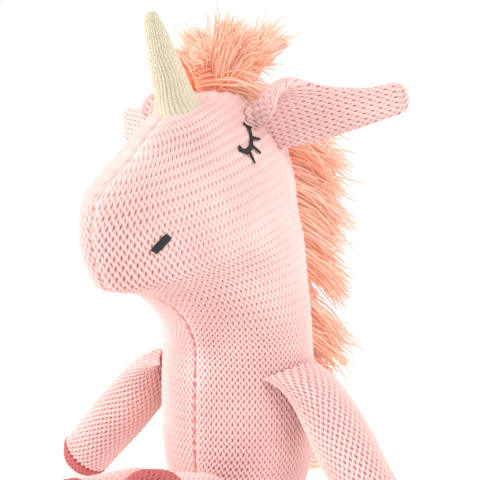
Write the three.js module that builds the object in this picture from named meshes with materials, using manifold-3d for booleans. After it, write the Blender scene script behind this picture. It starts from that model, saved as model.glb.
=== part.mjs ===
// Knitted plush unicorn, sitting, with sewn-on arms, legs and ears, a ribbed horn and yarn hair.
// Millimetres, +Z up. Origin: centre of the flat seat panel. The toy faces -Y; its left side is +X.

import * as THREE from "three";
import { mergeVertices } from "three/addons/utils/BufferGeometryUtils.js";
import Module from "manifold-3d";

const wasm = await Module();
wasm.setup();

// ---------- driving dimensions ----------
const GAP = 0.4;                 // clearance between two pieces that touch
const COVER = 2.0;               // thickness of the knitted cover
const FILLING_INSET = 3.2;       // filling surface below the outside of the cover
const RING_POINTS = 22;          // points around a body row
const ROW_STEP = 0.75;           // spacing of the body rows, in stations

// Body, neck and head rows, from the seat to the crown. Each row is a flat egg-shaped loop between
// a point on the front seam and a point on the back seam.
// [front reach, front height, back reach, back height, half width, squareness, snout taper]
const STATIONS = [
  [25, 0, 25, 0, 27, 2, 0],
  [32.5, 8, 33, 8, 35, 2, 0],
  [36.3, 22, 37.3, 22, 40.8, 2, 0],
  [37.8, 40, 38.8, 40, 43.4, 2, 0],
  [37.5, 67, 38.5, 67, 44, 2, 0],
  [37, 90, 37.5, 91, 43, 2, 0],
  [42, 103, 36.5, 108, 42, 2.05, 0.03],
  [56, 116, 35.5, 130, 40.8, 2.2, 0.02],
  [81, 126, 34, 151, 41.4, 2.03, 0.13],
  [102.5, 129, 33, 168, 39.4, 2, 0.155],
  [112.8, 143.8, 31, 184, 38.8, 2.08, 0.125],
  [115.6, 156, 27.5, 198, 36.5, 2.07, 0.12],
  [114, 169, 21.5, 209, 32, 2.18, 0.12],
  [103.5, 181.5, 13, 219, 26.8, 2.16, 0.1],
  [89, 192, 3, 226, 22.5, 2.05, 0.06],
  [76.5, 203, -11, 229.5, 18.5, 2.1, 0],
  [64, 213, -31, 227.5, 11, 2, 0],
  [49, 221, -49, 221, 0.5, 2, 0],
];
const CROWN = STATIONS.length - 1;

// axis and sliding surface of the neck bend
const NECK = { y: 0, z: 87, radius: 50, range: [-8, 14] };
const SEAT = { thickness: 1.6, margin: 0.5 };

const HORN = { y: -51, z: 219, lean: 24, skirt: 8 };
// [distance up the horn, radius]
const HORN_PROFILE = [[-8, 14], [0, 12.5], [4, 10.8], [12, 9], [25, 7.6], [38, 5.8], [46, 4.2], [50, 2.4]];
const HORN_TIP = 51.5;
const HORN_WALL = 1.2;

const EAR = {
  seamTop: [18.7, -19.6, 219.7],
  seamBottom: [29.2, 2.1, 194.9],
  tip: { left: [96, 17, 224], right: [96, 17, 211] },   // the right ear hangs a little lower
  sheet: 6,
  foldStart: 0.38,        // part of the width below the fold; the seam sits there too
};
// [fraction of the ear's length, width across the knit, angle the upper edge is folded through]
const EAR_SECTIONS = [
  [0.03, 40, 160], [0.12, 45, 150], [0.2, 43, 115], [0.3, 38, 65], [0.42, 33, 30],
  [0.58, 28, 15], [0.78, 20.5, 8], [0.92, 14.5, 5], [1, 6, 3],
];
const EAR_RANGE = [-8, 20];

const SHOULDER = { x: 45.5, y: 0, z: 80.5, splay: 40, forward: 12.6, range: [0, 110] };
// The sewn top edge of the arm is highest here behind the middle, and falls away by this curve.
const ARM_SEAM = { highest: 10, lift: 3.1, fall: 0.0095 };
// [distance from the seam, half depth, half thickness]
const ARM_SECTIONS = [
  [0, 25, 1.4], [8, 23, 7], [20, 19.5, 12], [36, 17, 14.5], [54, 16, 15.5], [72, 15, 15],
  [86, 14.8, 14.8], [93, 12.3, 12.3], [97.5, 8, 8], [99.5, 2.5, 2.5],
];
const ARM_HOOF_START = 87;

// How far along a limb its wrapped end takes to ease out.
const EASE_LENGTH = 36;

const HIP = { x: 21, y: -36.5, z: 15.5, splay: 6, liftLeft: 12, range: [-40, 65] };
const LEG_SECTIONS = [
  [0, 17, 1.4], [10, 15.5, 8], [22, 13.5, 12], [40, 12.8, 12.8], [58, 13.6, 13.6],
  [66, 15, 15], [75, 15.2, 15.2], [83, 12, 12], [87, 7.5, 7.5], [89, 2.5, 2.5],
];
const LEG_HOOF_START = 60;

// Mane tufts down the back seam: [root height, length, droop angle], from the crown downwards.
const MANE = [
  [227.5, 40, -8], [211, 46, 8], [194.5, 48, 12], [177.5, 48, 14], [160, 48, 16], [141.5, 48, 18],
  [114, 46, 26], [96, 46, 29], [78.5, 44, 33],
];
const TUFT = { halfWidth: 15, rootHalfHeight: 7.4, tipHalfHeight: 5, rootDepth: 4 };
const FORELOCK = { y: -3, z: 246, halfWidth: 26, halfDepth: 27, halfHeight: 21 };
const TAIL = { y: 39, z: 24, length: 62, droop: 16, halfWidth: 13, halfHeight: 9, range: [0, 40] };

// Closed eye on the left side of the head, as reach forward and height: lid line, then lashes.
const EYE_LID = [[38.5, 197.3], [33.9, 196.2], [29.3, 198.6], [26.7, 202.6], [24.8, 207.5], [27.6, 211]];
const EYE_LASHES = [
  [[32, 197], [30.8, 190.6]], [[28.4, 199.6], [23.7, 195.6]], [[26.4, 203.6], [19.7, 202.6]],
];
const EYE_THREAD = 1.3;
const NOSTRIL = [[97.2, 149.3], [90.9, 156.5]];
const NOSTRIL_THREAD = 2.0;

const COLOURS = {
  pink: 0xf6c4bd, rose: 0xc9686a, coral: 0xf9ae92, gold: 0xe6d3ae, black: 0x17171a, white: 0xf5f2ee,
};

// ---------- materials ----------
function fabric(color, roughness = 0.95, metalness = 0) {
  return new THREE.MeshStandardMaterial({ color, roughness, metalness });
}

const pinkKnit = fabric(COLOURS.pink);
const roseKnit = fabric(COLOURS.rose);
const coralYarn = fabric(COLOURS.coral, 0.85);
const goldRib = fabric(COLOURS.gold, 0.6, 0.35);
const blackThread = fabric(COLOURS.black, 0.6);
const whiteFibre = fabric(COLOURS.white);

// ---------- small tools ----------
const group = new THREE.Group();
const radians = THREE.MathUtils.degToRad;

function addPiece(name, geometry, material) {
  const mesh = new THREE.Mesh(geometry, material);
  mesh.name = name;
  group.add(mesh);
}

function toSolid(geometry) {
  const bare = geometry.clone();
  bare.deleteAttribute("normal");
  bare.deleteAttribute("uv");
  const merged = mergeVertices(bare, 1e-4);
  return new wasm.Manifold(new wasm.Mesh({
    numProp: 3,
    vertProperties: new Float32Array(merged.attributes.position.array),
    triVerts: new Uint32Array(merged.index.array),
  }));
}

function toGeometry(solid) {
  const parts = solid.decompose().sort((a, b) => b.volume() - a.volume());
  const mesh = parts[0].getMesh();
  const geometry = new THREE.BufferGeometry();
  geometry.setAttribute("position", new THREE.BufferAttribute(new Float32Array(mesh.vertProperties), 3));
  geometry.setIndex(new THREE.BufferAttribute(new Uint32Array(mesh.triVerts), 1));
  geometry.computeVertexNormals();
  return geometry;
}

// Closed solid through a run of rings; both ends are closed with a fan to the ring's middle.
function loftRings(rings) {
  const count = rings[0].length;
  const points = rings.flat();
  const triangles = [];
  for (let i = 0; i < rings.length - 1; i++) {
    for (let j = 0; j < count; j++) {
      const k = (j + 1) % count;
      const [a, b] = [i * count + j, i * count + k];
      triangles.push(a, b, b + count, a, b + count, a + count);
    }
  }
  [0, rings.length - 1].forEach((row) => {
    const middle = new THREE.Vector3();
    rings[row].forEach((p) => middle.addScaledVector(p, 1 / count));
    const centre = points.push(middle) - 1;
    for (let j = 0; j < count; j++) {
      const [a, b] = [row * count + j, row * count + ((j + 1) % count)];
      triangles.push(...(row === 0 ? [centre, b, a] : [centre, a, b]));
    }
  });
  if (signedVolume(points, triangles) < 0) triangles.reverse();
  const geometry = new THREE.BufferGeometry();
  geometry.setAttribute("position", new THREE.Float32BufferAttribute(points.flatMap((p) => p.toArray()), 3));
  geometry.setIndex(triangles);
  return geometry;
}

function signedVolume(points, triangles) {
  let volume = 0;
  for (let i = 0; i < triangles.length; i += 3) {
    const [a, b, c] = [points[triangles[i]], points[triangles[i + 1]], points[triangles[i + 2]]];
    volume += a.dot(b.clone().cross(c)) / 6;
  }
  return volume;
}

// Smooth value between the rows of a table whose entries never overshoot (monotone cubic).
function smoothColumn(table, column, at) {
  const last = table.length - 1;
  const i = Math.min(Math.max(Math.floor(at), 0), last - 1);
  const value = (k) => table[k][column];
  const step = (k) => value(k + 1) - value(k);
  const slope = (k) => {
    if (k === 0) return step(0);
    if (k === last) return step(last - 1);
    const [before, after] = [step(k - 1), step(k)];
    return before * after <= 0 ? 0 : (2 * before * after) / (before + after);
  };
  const s = Math.min(Math.max(at - i, 0), 1);
  const [a, b] = [value(i), value(i + 1)];
  const [ma, mb] = [slope(i), slope(i + 1)];
  return a + s * (ma + s * (3 * (b - a) - 2 * ma - mb + s * (2 * (a - b) + ma + mb)));
}

// ---------- body, neck and head ----------
function row(station) {
  const [front, frontZ, back, backZ, width, squareness, taper] = [0, 1, 2, 3, 4, 5, 6]
    .map((column) => smoothColumn(STATIONS, column, station));
  return {
    middle: [(back - front) / 2, (frontZ + backZ) / 2],
    along: [(back + front) / 2, (backZ - frontZ) / 2],
    width, squareness, taper,
  };
}

function rowRing(station, inset) {
  const { middle, along, width, squareness, taper } = row(station);
  const half = Math.hypot(...along);
  const shrink = Math.max(half - inset, 0.4) / half;
  const ring = [];
  for (let j = 0; j < RING_POINTS; j++) {
    const angle = (2 * Math.PI * j) / RING_POINTS;
    const u = -Math.cos(angle);
    const bulge = Math.max(1 - Math.abs(u) ** squareness, 0) ** (1 / squareness);
    const x = Math.sign(Math.sin(angle)) * Math.max(width - inset, 0.3) * bulge * (1 + taper * u);
    ring.push(new THREE.Vector3(x, middle[0] + along[0] * shrink * u, middle[1] + along[1] * shrink * u));
  }
  return ring;
}

// Whole body solid, its skin moved in by inset, from a start height up to a last station.
function bodySolid(inset, bottom = 0) {
  const lastStation = inset > 0 ? CROWN - 0.5 : CROWN - 0.1;
  const rings = [];
  if (bottom < 0) rings.push(rowRing(0, inset).map((p) => p.clone().setZ(bottom)));
  for (let station = 0; station < lastStation; station += ROW_STEP) {
    const ring = rowRing(station, inset);
    const lift = Math.max(0, bottom - ring[0].z);
    rings.push(lift > 0 ? ring.map((p) => p.clone().setZ(p.z + lift)) : ring);
  }
  rings.push(rowRing(lastStation, inset).map((p) => p.clone().setZ(p.z - Math.max(inset, 0))));
  return toSolid(loftRings(rings));
}

// Everything below the neck's sliding surface, which is a cylinder about the neck axis.
function belowNeck(extraRadius) {
  const radius = NECK.radius + extraRadius;
  const shape = new THREE.Shape();
  shape.moveTo(-200, -60);
  shape.lineTo(200, -60);
  const arc = [];
  for (let angle = 35; angle <= 158; angle += 3) {
    arc.push([radius * Math.cos(radians(angle)), NECK.z + radius * Math.sin(radians(angle))]);
  }
  shape.lineTo(200, arc[0][1]);
  arc.forEach(([y, z]) => shape.lineTo(y, z));
  shape.lineTo(-200, arc.at(-1)[1]);
  const slab = new THREE.ExtrudeGeometry(shape, { depth: 200, bevelEnabled: false });
  slab.rotateX(Math.PI / 2);
  slab.rotateZ(Math.PI / 2);
  slab.translate(-100, 0, 0);
  return toSolid(slab);
}

function sideBlock(side) {
  const block = new THREE.BoxGeometry(120, 400, 400);
  block.translate(side * (60 + GAP / 2), 0, 100);
  return toSolid(block);
}

const outerSkin = bodySolid(0);
const coverShell = outerSkin.subtract(bodySolid(COVER, -5));
const torsoSpace = belowNeck(0);
const headCut = belowNeck(0.6);
const clearance = bodySolid(-GAP);

[["left", 1], ["right", -1]].forEach(([side, sign]) => {
  const half = coverShell.intersect(sideBlock(sign));
  addPiece(`torso_cover_${side}`, toGeometry(half.intersect(torsoSpace)), pinkKnit);
  addPiece(`head_cover_${side}`, toGeometry(half.subtract(headCut)), pinkKnit);
});

const filling = bodySolid(FILLING_INSET, SEAT.thickness + GAP);
addPiece("torso_filling", toGeometry(filling.intersect(belowNeck(-0.6))), whiteFibre);
addPiece("head_filling", toGeometry(filling.subtract(belowNeck(1.2))), whiteFibre);

const seatShape = new THREE.Shape();
const seatInset = COVER + SEAT.margin;
seatShape.absellipse(0, 0, STATIONS[0][4] - seatInset, STATIONS[0][0] - seatInset, 0, 2 * Math.PI);
const seatPanel = new THREE.ExtrudeGeometry(seatShape, {
  depth: SEAT.thickness, bevelEnabled: false, curveSegments: 12,
});
addPiece("seat_panel", toGeometry(toSolid(seatPanel)), pinkKnit);

// Half width of the body at a given reach forward and height, found by walking up the rows.
function sideOfBody(reach, height) {
  let [low, high] = [0, CROWN];
  for (let i = 0; i < 40; i++) {
    const station = (low + high) / 2;
    const { middle, along } = row(station);
    const above = (-reach - middle[0]) * along[1] - (height - middle[1]) * along[0] < 0;
    if (above) low = station;
    else high = station;
  }
  const { middle, along, width, squareness, taper } = row(low);
  const u = Math.min(Math.max((-reach - middle[0]) / along[0], -1), 1);
  return width * (1 - Math.abs(u) ** squareness) ** (1 / squareness) * (1 + taper * u);
}

// ---------- swinging pieces keep clear of their neighbour over their whole range ----------
function turned(solid, pivot, axis, degrees) {
  const turn = new THREE.Matrix4().makeRotationAxis(axis, radians(degrees));
  const move = new THREE.Matrix4().makeTranslation(...pivot.toArray());
  const back = new THREE.Matrix4().makeTranslation(...pivot.clone().negate().toArray());
  return solid.transform(move.multiply(turn).multiply(back).elements);
}

function clearOver(solid, neighbour, pivot, axis, range, steps = 6) {
  let result = solid.subtract(neighbour);
  for (let i = 0; i <= steps; i++) {
    const degrees = range[0] + ((range[1] - range[0]) * i) / steps;
    result = result.subtract(turned(neighbour, pivot, axis, -degrees));
  }
  return result;
}

function mirrorX(solid) {
  return solid.mirror([1, 0, 0]);
}

// ---------- horn ----------
function hornShape(inset, tip) {
  const outside = HORN_PROFILE.map(([up, radius]) => new THREE.Vector2(Math.max(radius - inset, 0.6), up));
  const profile = [new THREE.Vector2(0, -HORN.skirt), ...outside, new THREE.Vector2(0, tip)];
  const horn = new THREE.LatheGeometry(profile, 14);
  horn.rotateX(Math.PI / 2);
  horn.rotateX(radians(HORN.lean));
  horn.translate(0, HORN.y, HORN.z);
  return toSolid(horn);
}

const hornOuter = hornShape(0, HORN_TIP);
const hornHollow = hornShape(HORN_WALL, HORN_TIP - HORN_WALL);
const hornCore = hornShape(HORN_WALL + GAP, HORN_TIP - HORN_WALL - 1.5);
addPiece("horn_cover", toGeometry(hornOuter.subtract(hornHollow).subtract(clearance)), goldRib);
addPiece("horn_filling", toGeometry(hornCore.subtract(clearance)), whiteFibre);

// ---------- ears: a knitted blade whose upper edge folds over towards the front ----------
function earPanel(halfSheet, samples, fraction, width, fold) {
  const section = [];
  let [across, forward] = [0, 0];
  for (let i = 0; i <= samples; i++) {
    const part = i / samples;
    const bend = Math.max(0, (part - EAR.foldStart) / (1 - EAR.foldStart));
    const tangent = radians(fold) * bend * bend * (3 - 2 * bend);
    section.push({
      across: across - Math.sin(tangent) * halfSheet,
      forward: forward + Math.cos(tangent) * halfSheet,
    });
    across += (Math.cos(tangent) * width) / samples;
    forward += (Math.sin(tangent) * width) / samples;
  }
  return section;
}

function earSolid(tip) {
  const top = new THREE.Vector3(...EAR.seamTop);
  const bottom = new THREE.Vector3(...EAR.seamBottom);
  const base = top.clone().add(bottom).multiplyScalar(0.5);
  const axis = new THREE.Vector3(...tip).sub(base);
  const length = axis.length();
  axis.normalize();
  const seam = top.clone().sub(bottom).normalize();
  const samples = 9;
  const rings = EAR_SECTIONS.map(([fraction, width, fold]) => {
    const upright = new THREE.Vector3(0, 0, 1);
    const across = seam.clone().lerp(upright, Math.min(1, fraction * 2.2));
    across.addScaledVector(axis, -across.dot(axis)).normalize();
    const forward = axis.clone().cross(across).normalize();
    if (forward.y > 0) forward.negate();
    const outer = earPanel(EAR.sheet / 2, samples, fraction, width, fold);
    const inner = earPanel(-EAR.sheet / 2, samples, fraction, width, fold).reverse();
    const span = EAR.foldStart * width;
    const centre = base.clone().addScaledVector(axis, fraction * length);
    return [...outer, ...inner].map((p) => centre.clone()
      .addScaledVector(across, p.across - span)
      .addScaledVector(forward, p.forward));
  });
  return toSolid(loftRings(rings));
}

const earMiddle = new THREE.Vector3(...EAR.seamTop).add(new THREE.Vector3(...EAR.seamBottom));
const earPivot = earMiddle.multiplyScalar(0.5);
const earAxis = new THREE.Vector3(...EAR.seamTop).sub(new THREE.Vector3(...EAR.seamBottom)).normalize();
function earOverRange(tip) {
  return clearOver(earSolid(tip), clearance, earPivot, earAxis, EAR_RANGE);
}
addPiece("ear_left", toGeometry(earOverRange(EAR.tip.left)), pinkKnit);
addPiece("ear_right", toGeometry(mirrorX(earOverRange(EAR.tip.right))), pinkKnit);

// ---------- limbs: a tube flattened at its sewn end, closed by a rounded hoof ----------
// Built hanging down from the origin: depth along Y, thickness along X.
function limbSolid(sections, inset, endInset) {
  const segments = 14;
  const length = sections.at(-1)[0];
  const rings = sections.map(([distance, depth, thickness]) => {
    const reach = endInset + (distance * (length - 2 * endInset)) / length;
    const ring = [];
    for (let j = 0; j < segments; j++) {
      const angle = (2 * Math.PI * j) / segments;
      const x = Math.max(thickness - inset, 0.4) * Math.sin(angle);
      const y = Math.max(depth - inset, 0.4) * Math.cos(angle);
      ring.push(new THREE.Vector3(x, y, -reach));
    }
    return ring;
  });
  return loftRings(rings);
}

function slabBelow(distance, thickness = 300) {
  const slab = new THREE.BoxGeometry(200, 200, thickness);
  slab.translate(0, 0, -distance - thickness / 2);
  return toSolid(slab);
}

// Wraps the flat sewn end of a limb around the rounded body, easing out further along the limb.
// inward and upward are the body's own directions as the limb sees them; lift raises each point.
function wrapSewnEnd(geometry, body, inward, upward, lift) {
  const position = geometry.attributes.position;
  const point = new THREE.Vector3();
  for (let i = 0; i < position.count; i++) {
    point.fromBufferAttribute(position, i);
    const ease = Math.max(0, 1 + point.z / EASE_LENGTH) ** 2;
    const drop = body.half * (1 - Math.sqrt(Math.max(1 - (point.y / body.depth) ** 2, 0.1)));
    point.addScaledVector(upward, lift(point.y) * ease).addScaledVector(inward, drop * ease);
    position.setXYZ(i, point.x, point.y, point.z);
  }
  return geometry;
}

function limbPieces(sections, hoofStart, wrap) {
  const outer = toSolid(wrap(limbSolid(sections, 0, 0)));
  const hollow = toSolid(wrap(limbSolid(sections, 1.8, 1.8)));
  const core = toSolid(wrap(limbSolid(sections, 3.6, 7)));
  const shell = outer.subtract(hollow);
  const hoofSide = slabBelow(hoofStart);
  return {
    cover: shell.subtract(slabBelow(hoofStart - GAP)),
    hoof: shell.intersect(hoofSide),
    filling: core,
  };
}

const armTurn = new THREE.Matrix4().makeRotationX(-radians(SHOULDER.forward))
  .multiply(new THREE.Matrix4().makeRotationY(-radians(SHOULDER.splay)));
const armMatrix = new THREE.Matrix4()
  .makeTranslation(SHOULDER.x, SHOULDER.y, SHOULDER.z)
  .multiply(armTurn);
const armUnturn = armTurn.clone().invert();
const armPivot = new THREE.Vector3(SHOULDER.x, SHOULDER.y, SHOULDER.z);
const armAxis = new THREE.Vector3(0, -1, 0);
const armWrap = (geometry) => wrapSewnEnd(
  geometry,
  { half: STATIONS[4][4], depth: STATIONS[4][2] },
  new THREE.Vector3(-1, 0, 0).applyMatrix4(armUnturn),
  new THREE.Vector3(0, 0, 1).applyMatrix4(armUnturn),
  (y) => ARM_SEAM.lift - ARM_SEAM.fall * (y - ARM_SEAM.highest) ** 2,
);
const armParts = limbPieces(ARM_SECTIONS, ARM_HOOF_START, armWrap);
Object.entries(armParts).forEach(([kind, solid]) => {
  const turned = solid.transform(armMatrix.elements);
  const placed = clearOver(turned, clearance, armPivot, armAxis, SHOULDER.range);
  const material = { cover: pinkKnit, hoof: roseKnit, filling: whiteFibre }[kind];
  addPiece(`arm_left_${kind}`, toGeometry(placed), material);
  addPiece(`arm_right_${kind}`, toGeometry(mirrorX(placed)), material);
});

// The leg is built like the arm, then turned so that its depth runs across and it points forward.
const legWrap = (geometry) => wrapSewnEnd(
  geometry, { half: 34, depth: 40 }, new THREE.Vector3(-1, 0, 0), new THREE.Vector3(0, 0, 1), () => 0,
);
const legParts = limbPieces(LEG_SECTIONS, LEG_HOOF_START, legWrap);
const legTurn = new THREE.Matrix4().makeBasis(
  new THREE.Vector3(0, -1, 0), new THREE.Vector3(1, 0, 0), new THREE.Vector3(0, 0, 1),
).premultiply(new THREE.Matrix4().makeRotationX(-Math.PI / 2));
[["left", 1, HIP.liftLeft], ["right", -1, 0]].forEach(([side, sign, lift]) => {
  const matrix = new THREE.Matrix4()
    .makeTranslation(sign * HIP.x, HIP.y, HIP.z)
    .multiply(new THREE.Matrix4().makeRotationX(-radians(lift)))
    .multiply(new THREE.Matrix4().makeRotationZ(sign * radians(HIP.splay)))
    .multiply(legTurn);
  const pivot = new THREE.Vector3(sign * HIP.x, HIP.y, HIP.z);
  const axis = new THREE.Vector3(1, 0, 0);
  Object.entries(legParts).forEach(([kind, solid]) => {
    const placed = clearOver(solid.transform(matrix.elements), clearance, pivot, axis, HIP.range);
    const material = { cover: pinkKnit, hoof: roseKnit, filling: whiteFibre }[kind];
    addPiece(`leg_${side}_${kind}`, toGeometry(placed), material);
  });
});

// ---------- yarn hair: plain lumps of the outer shape of each tuft ----------
function tuftSolid(root, direction, length, halfWidth, rootHalf, tipHalf, rootDepth) {
  const along = direction.clone().normalize();
  const sideways = new THREE.Vector3(1, 0, 0);
  const upward = sideways.clone().cross(along).normalize();
  // [distance, share of the half width, share of the half height]
  const profile = [
    [-rootDepth, 0.55, 1], [0, 0.8, 1], [0.35 * length, 1, 1.05], [0.75 * length, 0.85, 1],
    [length, 0.35, 0.6],
  ];
  const rings = profile.map(([distance, wide, tall]) => {
    const part = Math.min(Math.max(distance / length, 0), 1);
    const half = (rootHalf + (tipHalf - rootHalf) * part) * tall;
    const ring = [];
    for (let j = 0; j < 10; j++) {
      const angle = (2 * Math.PI * j) / 10;
      ring.push(root.clone().addScaledVector(along, distance)
        .addScaledVector(sideways, halfWidth * wide * Math.cos(angle))
        .addScaledVector(upward, half * Math.sin(angle)));
    }
    return ring;
  });
  return toSolid(loftRings(rings));
}

// How far back the back seam lies at a given height.
function backSeamAt(height) {
  let [low, high] = [0, CROWN - 3];
  for (let i = 0; i < 40; i++) {
    const station = (low + high) / 2;
    if (smoothColumn(STATIONS, 3, station) < height) low = station;
    else high = station;
  }
  return smoothColumn(STATIONS, 2, low);
}

function maneTuft([height, length, droop], extra) {
  const root = new THREE.Vector3(0, backSeamAt(height), height);
  const direction = new THREE.Vector3(0, Math.cos(radians(droop)), -Math.sin(radians(droop)));
  const { halfWidth, rootHalfHeight, tipHalfHeight, rootDepth } = TUFT;
  return tuftSolid(root, direction, length + extra, halfWidth + extra, rootHalfHeight + extra,
    tipHalfHeight + extra, rootDepth + extra);
}

// Tufts below the neck bend stay with the torso and keep clear of the head as it nods.
const neckPivot = new THREE.Vector3(0, NECK.y, NECK.z);
const crossAxis = new THREE.Vector3(1, 0, 0);
const headSkin = clearance.subtract(headCut);
const headTurns = NECK.range.map((degrees) => -degrees);
MANE.forEach((entry, index) => {
  let tuft = maneTuft(entry, 0).subtract(clearance);
  if (entry[0] < NECK.z + NECK.radius) tuft = clearOver(tuft, headSkin, neckPivot, crossAxis, headTurns);
  addPiece(`mane_tuft_${index + 1}`, toGeometry(tuft), coralYarn);
});

const lump = new THREE.SphereGeometry(1, 16, 10);
lump.scale(FORELOCK.halfWidth, FORELOCK.halfDepth, FORELOCK.halfHeight);
lump.translate(0, FORELOCK.y, FORELOCK.z);
const hornRoom = hornShape(-GAP * 2, HORN_TIP + 1);
const forelock = toSolid(lump).subtract(clearance).subtract(hornRoom).subtract(maneTuft(MANE[0], GAP));
addPiece("forelock", toGeometry(forelock), coralYarn);

const tailDirection = new THREE.Vector3(0, Math.cos(radians(TAIL.droop)), -Math.sin(radians(TAIL.droop)));
const tail = tuftSolid(new THREE.Vector3(0, TAIL.y, TAIL.z), tailDirection, TAIL.length,
  TAIL.halfWidth, TAIL.halfHeight, TAIL.halfHeight * 0.5, 2);
const tailPivot = new THREE.Vector3(0, TAIL.y, TAIL.z);
addPiece("tail", toGeometry(clearOver(tail, clearance, tailPivot, crossAxis, TAIL.range)), coralYarn);

// ---------- embroidery: thread lying on the side of the head ----------
function onHead([reach, height], lift) {
  return new THREE.Vector3(sideOfBody(reach, height) + lift, -reach, height);
}

function threadRun(points, thread) {
  const curve = new THREE.CatmullRomCurve3(points.map((p) => onHead(p, thread + GAP)));
  const section = new THREE.Shape();
  for (let j = 0; j < 5; j++) {
    const angle = (2 * Math.PI * j) / 5;
    const [x, y] = [thread * Math.cos(angle), thread * Math.sin(angle)];
    if (j === 0) section.moveTo(x, y);
    else section.lineTo(x, y);
  }
  section.closePath();
  return toSolid(new THREE.ExtrudeGeometry(section, {
    steps: (points.length - 1) * 2, extrudePath: curve, bevelEnabled: false,
  }));
}

let eye = threadRun(EYE_LID, EYE_THREAD);
EYE_LASHES.forEach((lash) => {
  eye = eye.add(threadRun(lash, EYE_THREAD * 0.8));
});
eye = eye.subtract(clearance);
addPiece("eye_left", toGeometry(eye), blackThread);
addPiece("eye_right", toGeometry(mirrorX(eye)), blackThread);
const nostril = threadRun(NOSTRIL, NOSTRIL_THREAD).subtract(clearance);
addPiece("nostril_left", toGeometry(nostril), blackThread);
addPiece("nostril_right", toGeometry(mirrorX(nostril)), blackThread);

export default group;
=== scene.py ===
"""Looks of the knitted plush unicorn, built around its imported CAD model. Lengths below are millimetres."""
import math

import bpy
import numpy as np
from mathutils import Matrix, Vector


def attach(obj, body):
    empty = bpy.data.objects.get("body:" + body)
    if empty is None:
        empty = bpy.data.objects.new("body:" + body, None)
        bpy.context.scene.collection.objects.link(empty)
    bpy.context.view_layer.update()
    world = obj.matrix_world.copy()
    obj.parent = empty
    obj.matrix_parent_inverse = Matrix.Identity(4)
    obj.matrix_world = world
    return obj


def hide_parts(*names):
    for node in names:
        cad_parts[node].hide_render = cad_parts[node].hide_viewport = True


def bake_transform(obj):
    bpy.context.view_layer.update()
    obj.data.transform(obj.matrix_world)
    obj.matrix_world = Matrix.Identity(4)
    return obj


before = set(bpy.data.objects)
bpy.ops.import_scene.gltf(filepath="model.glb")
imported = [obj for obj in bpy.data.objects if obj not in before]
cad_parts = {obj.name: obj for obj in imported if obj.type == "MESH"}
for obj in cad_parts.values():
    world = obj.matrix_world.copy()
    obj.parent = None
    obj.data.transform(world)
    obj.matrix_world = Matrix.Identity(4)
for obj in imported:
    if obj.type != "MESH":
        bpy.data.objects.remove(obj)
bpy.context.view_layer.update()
MM = 0.001

# ---------- driving dimensions ----------
# Body rows from seat to crown: front reach, front height, back reach, back height, half width,
# squareness, snout taper. The same rows make the CAD covers.
STATIONS = np.array([
    [25, 0, 25, 0, 27, 2, 0],
    [32.5, 8, 33, 8, 35, 2, 0],
    [36.3, 22, 37.3, 22, 40.8, 2, 0],
    [37.8, 40, 38.8, 40, 43.4, 2, 0],
    [37.5, 67, 38.5, 67, 44, 2, 0],
    [37, 90, 37.5, 91, 43, 2, 0],
    [42, 103, 36.5, 108, 42, 2.05, 0.03],
    [56, 116, 35.5, 130, 40.8, 2.2, 0.02],
    [81, 126, 34, 151, 41.4, 2.03, 0.13],
    [102.5, 129, 33, 168, 39.4, 2, 0.155],
    [112.8, 143.8, 31, 184, 38.8, 2.08, 0.125],
    [115.6, 156, 27.5, 198, 36.5, 2.07, 0.12],
    [114, 169, 21.5, 209, 32, 2.18, 0.12],
    [103.5, 181.5, 13, 219, 26.8, 2.16, 0.1],
    [89, 192, 3, 226, 22.5, 2.05, 0.06],
    [76.5, 203, -11, 229.5, 18.5, 2.1, 0],
    [64, 213, -31, 227.5, 11, 2, 0],
    [49, 221, -49, 221, 0.5, 2, 0],
])
# Knitted ridges between one row of the table and the next.
RIDGES = [2.4, 3.8, 4.6, 6.7, 6.5, 4.0, 3.5, 3.5, 3.4, 3.4, 2.5, 2.45, 2.3, 1.9, 1.95, 2.1, 2.2]
# Width of a stitch at each row: at the back seam, then at the front seam.
STITCHES = np.array([
    [3, 3], [3, 3], [3, 3], [3, 3], [3, 3], [3, 3], [2.9, 3], [2.7, 3.2], [2.6, 3.5],
    [2.5, 3.8], [2.4, 3.8], [2.4, 3.6], [2.4, 3.1], [2.4, 2.6], [2.3, 2.4],
    [2.3, 2.3], [2.3, 2.3], [2.3, 2.3],
], float)
# Strength of every second row of slits at each row: at the back seam, then at the front seam.
SECOND_ROWS = np.array([[0.75, 0.75]] * 6 + [
    [0.65, 0.75], [0.5, 0.7], [0.35, 0.75], [0.3, 0.85], [0.25, 0.9], [0.25, 0.85],
    [0.25, 0.7], [0.25, 0.5], [0.25, 0.4], [0.3, 0.3], [0.3, 0.3], [0.3, 0.3],
])
# Depth of the body's knit relief, and how far its middle stands proud of the smooth grid.
RELIEF = 1.0
PROUD = 0.25
SEAM_TUCK = 0.9
SAMPLES_PER_RIDGE = 8
BODY_COLUMNS = 430

HORN = {"y": -51, "z": 219, "lean": 24, "tip": 51.5, "ribs": 28}
# Height along the horn, radius.
HORN_PROFILE = np.array([
    [-6, 15], [0, 12.5], [4, 10.8], [12, 9], [25, 7.6], [38, 5.8], [46, 4.3], [50, 2.6],
])
HORN_CAP = {"from": 47.5, "radius": 3.9}

EAR_STITCH = 2.8
EAR_RIDGE = 4.3
EAR_SEAM_TOP = np.array([18.7, -19.6, 219.7])
EAR_SEAM_BOTTOM = np.array([29.2, 2.1, 194.9])
# Where each ear's tip hangs, how far its middle sags, and how much wider its tip has spread.
EARS = {
    "left": {"tip": np.array([96, 17, 224]), "sag": 0, "spread": 0},
    "right": {"tip": np.array([97, 17, 209]), "sag": 4, "spread": 0.25},
}
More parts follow.
